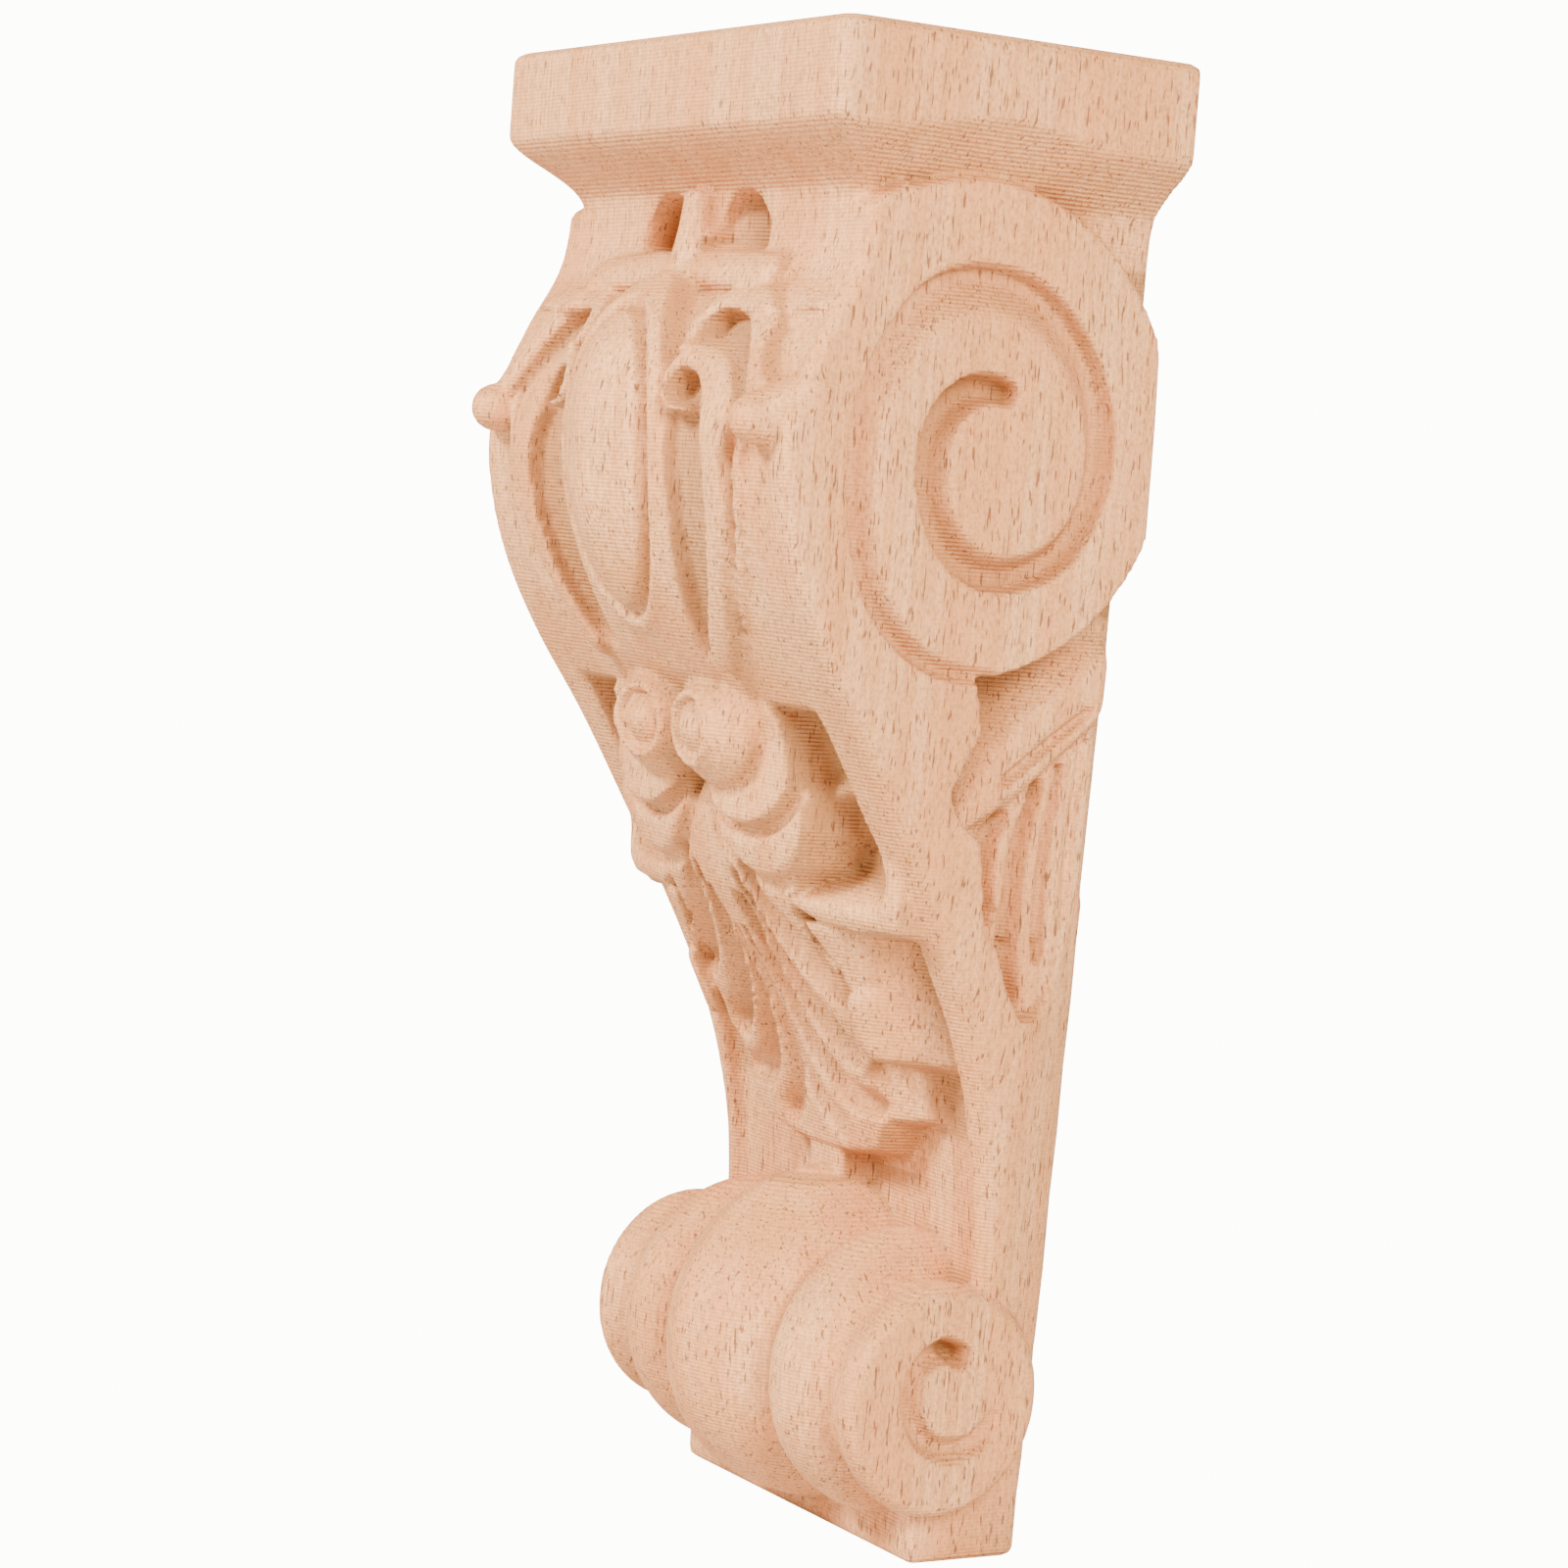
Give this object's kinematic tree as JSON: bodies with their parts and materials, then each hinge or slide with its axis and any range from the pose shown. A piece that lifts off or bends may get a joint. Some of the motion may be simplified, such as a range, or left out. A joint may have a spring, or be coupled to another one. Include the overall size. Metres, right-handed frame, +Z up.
{
  "type": "carved wood corbel",
  "caption": "Tapered carved wood corbel with a moulded square cap, side volutes, a cabochon and leaf on its front and a ribbed scroll at the foot, fixed to a wall by its flat back.",
  "frame": {"origin": "centre of the flat back face, which is fixed to the wall", "axes": "+X to the viewer's right when facing the front, +Y into the wall, +Z up"},
  "size_m": [0.0904, 0.0622, 0.2],
  "materials": {
    "wood": "raw unfinished carved wood, fine machine marks, open pores, satin to matte"
  },
  "bodies": {
    "root": {"corbel": "wood"}
  },
  "joints": []
}
